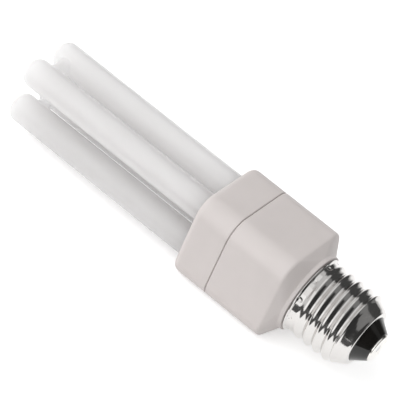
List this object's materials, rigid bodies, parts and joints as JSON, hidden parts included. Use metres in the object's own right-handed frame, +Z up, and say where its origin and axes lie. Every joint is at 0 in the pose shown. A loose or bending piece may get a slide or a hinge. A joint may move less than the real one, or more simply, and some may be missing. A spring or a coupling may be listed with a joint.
{
  "type": "compact fluorescent lamp",
  "caption": "Stick-shaped compact fluorescent lamp: straight white tubes on a square grey ballast housing, with a screw cap that makes the electrical contact.",
  "frame": {"origin": "on the lamp's axis, at the outer face of the centre contact", "axes": "+X along the lamp's axis, out of the cap; +Z up from the flat of the housing that it lies on"},
  "size_m": [0.1418, 0.0322, 0.0322],
  "materials": {
    "tube_glass": "clear glass over a white powder coat",
    "housing_plastic": "fine matt moulded plastic, warm light grey",
    "cement": "matt off-white cement",
    "nickel_plate": "bright nickel plate, slightly soft",
    "black_glass": "glossy black glass",
    "contact_metal": "bright plated contact, fine turned marks",
    "solder": "dull bright solder",
    "board": "brown paper-resin board",
    "ferrite": "dark grey sintered ferrite",
    "bobbin_plastic": "black moulded bobbin",
    "copper_wire": "enamelled copper wire",
    "can_sleeve": "dark shrink sleeve on an aluminium can",
    "film_resin": "red-brown dipped resin",
    "black_resin": "black moulded resin",
    "resistor_coat": "lacquered resistor",
    "tinned_wire": "tinned wire",
    "lead_wire": "insulated lead"
  },
  "bodies": {
    "root": {"ballast_housing": "housing_plastic", "cap_insulator": "black_glass", "cap_shell": "nickel_plate", "centre_contact": "contact_metal", "choke_bobbin": "bobbin_plastic", "choke_core_lower": "ferrite", "choke_core_upper": "ferrite", "choke_winding": "copper_wire", "circuit_board": "board", "contact_solder": "solder", "diode_1": "black_resin", "diode_2": "black_resin", "diode_3": "black_resin", "diode_4": "black_resin", "discharge_tube": "tube_glass", "drive_core": "ferrite", "drive_winding_1": "copper_wire", "drive_winding_2": "copper_wire", "drive_winding_3": "copper_wire", "filament_lead_1": "tinned_wire", "filament_lead_2": "tinned_wire", "filament_lead_3": "tinned_wire", "filament_lead_4": "tinned_wire", "fuse_resistor": "resistor_coat", "live_lead": "lead_wire", "neutral_lead": "lead_wire", "resonant_capacitor": "film_resin", "smoothing_capacitor": "can_sleeve", "start_capacitor": "film_resin", "transistor_1": "black_resin", "transistor_2": "black_resin", "tube_cement": "cement", "tube_cover": "housing_plastic", "wire_post_1": "tinned_wire", "wire_post_2": "tinned_wire", "wire_post_3": "tinned_wire", "wire_post_4": "tinned_wire"}
  },
  "joints": []
}
